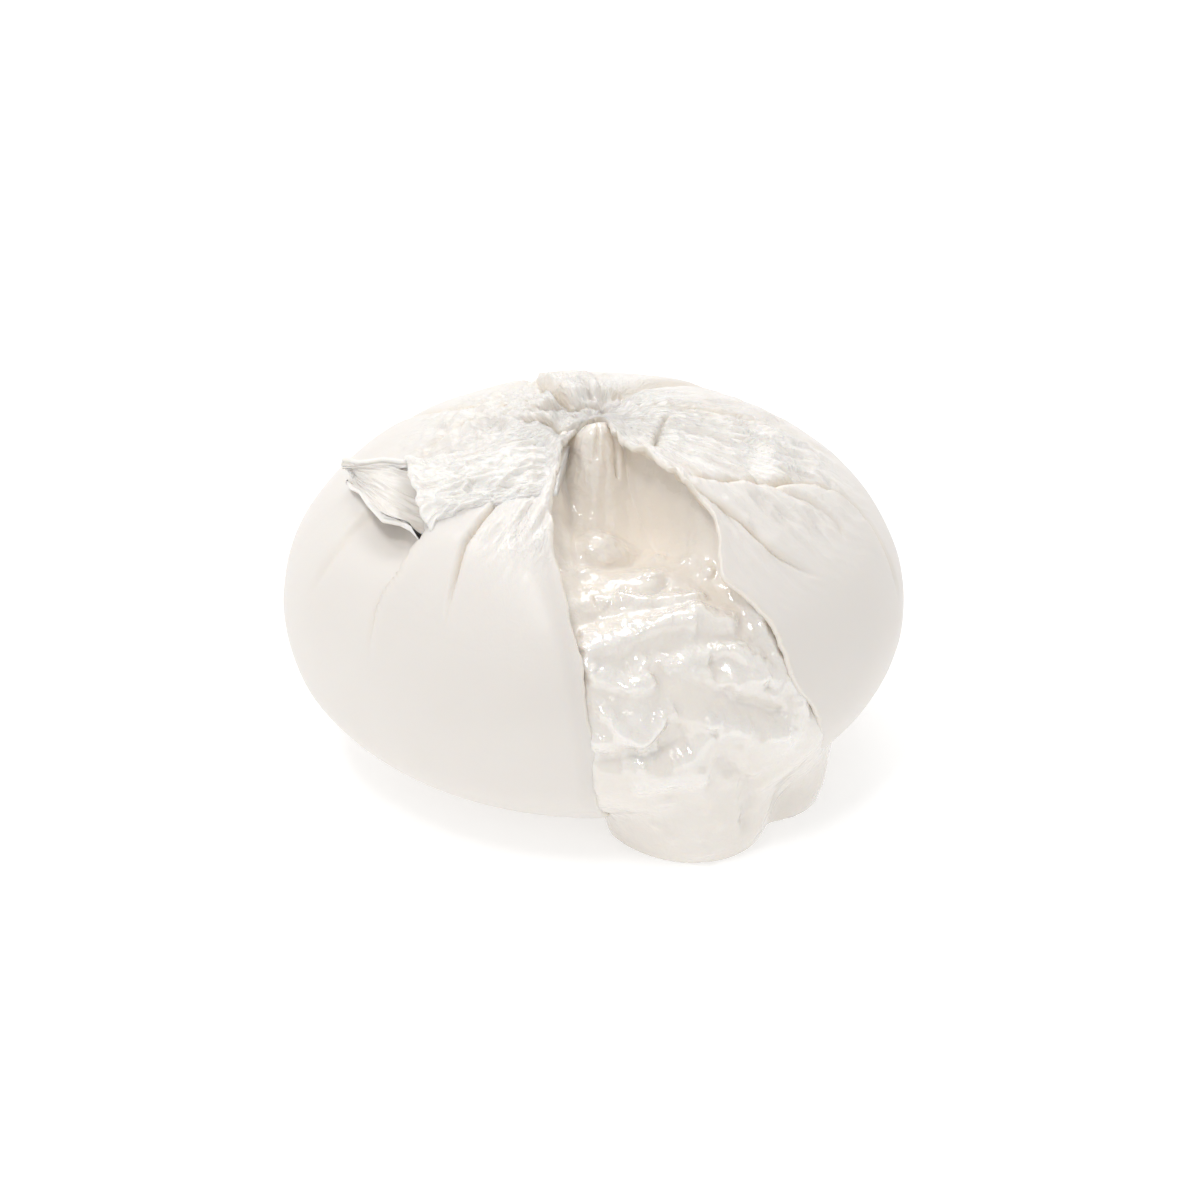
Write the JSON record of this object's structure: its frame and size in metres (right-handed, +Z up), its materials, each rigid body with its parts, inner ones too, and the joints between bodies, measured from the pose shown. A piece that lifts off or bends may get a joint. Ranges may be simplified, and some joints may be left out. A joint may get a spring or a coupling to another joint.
{
  "type": "burrata",
  "caption": "Squat pouch of stretched curd with a gathered, fallen neck, torn open at the front so that its creamy curd filling slumps out.",
  "frame": {"origin": "on the table, under the middle of the pouch", "axes": "+Z up to the gathered top, -Y towards the tear and the flow of filling, +X to the right seen from the front"},
  "size_m": [0.094, 0.0943, 0.054],
  "materials": {
    "skin": "satin milk white stretched curd, slightly translucent, with a moist sheen",
    "cream": "wet, glossy warm white cream with torn curd in it"
  },
  "bodies": {
    "root": {"pouch": "skin", "filling": "cream"}
  },
  "joints": []
}
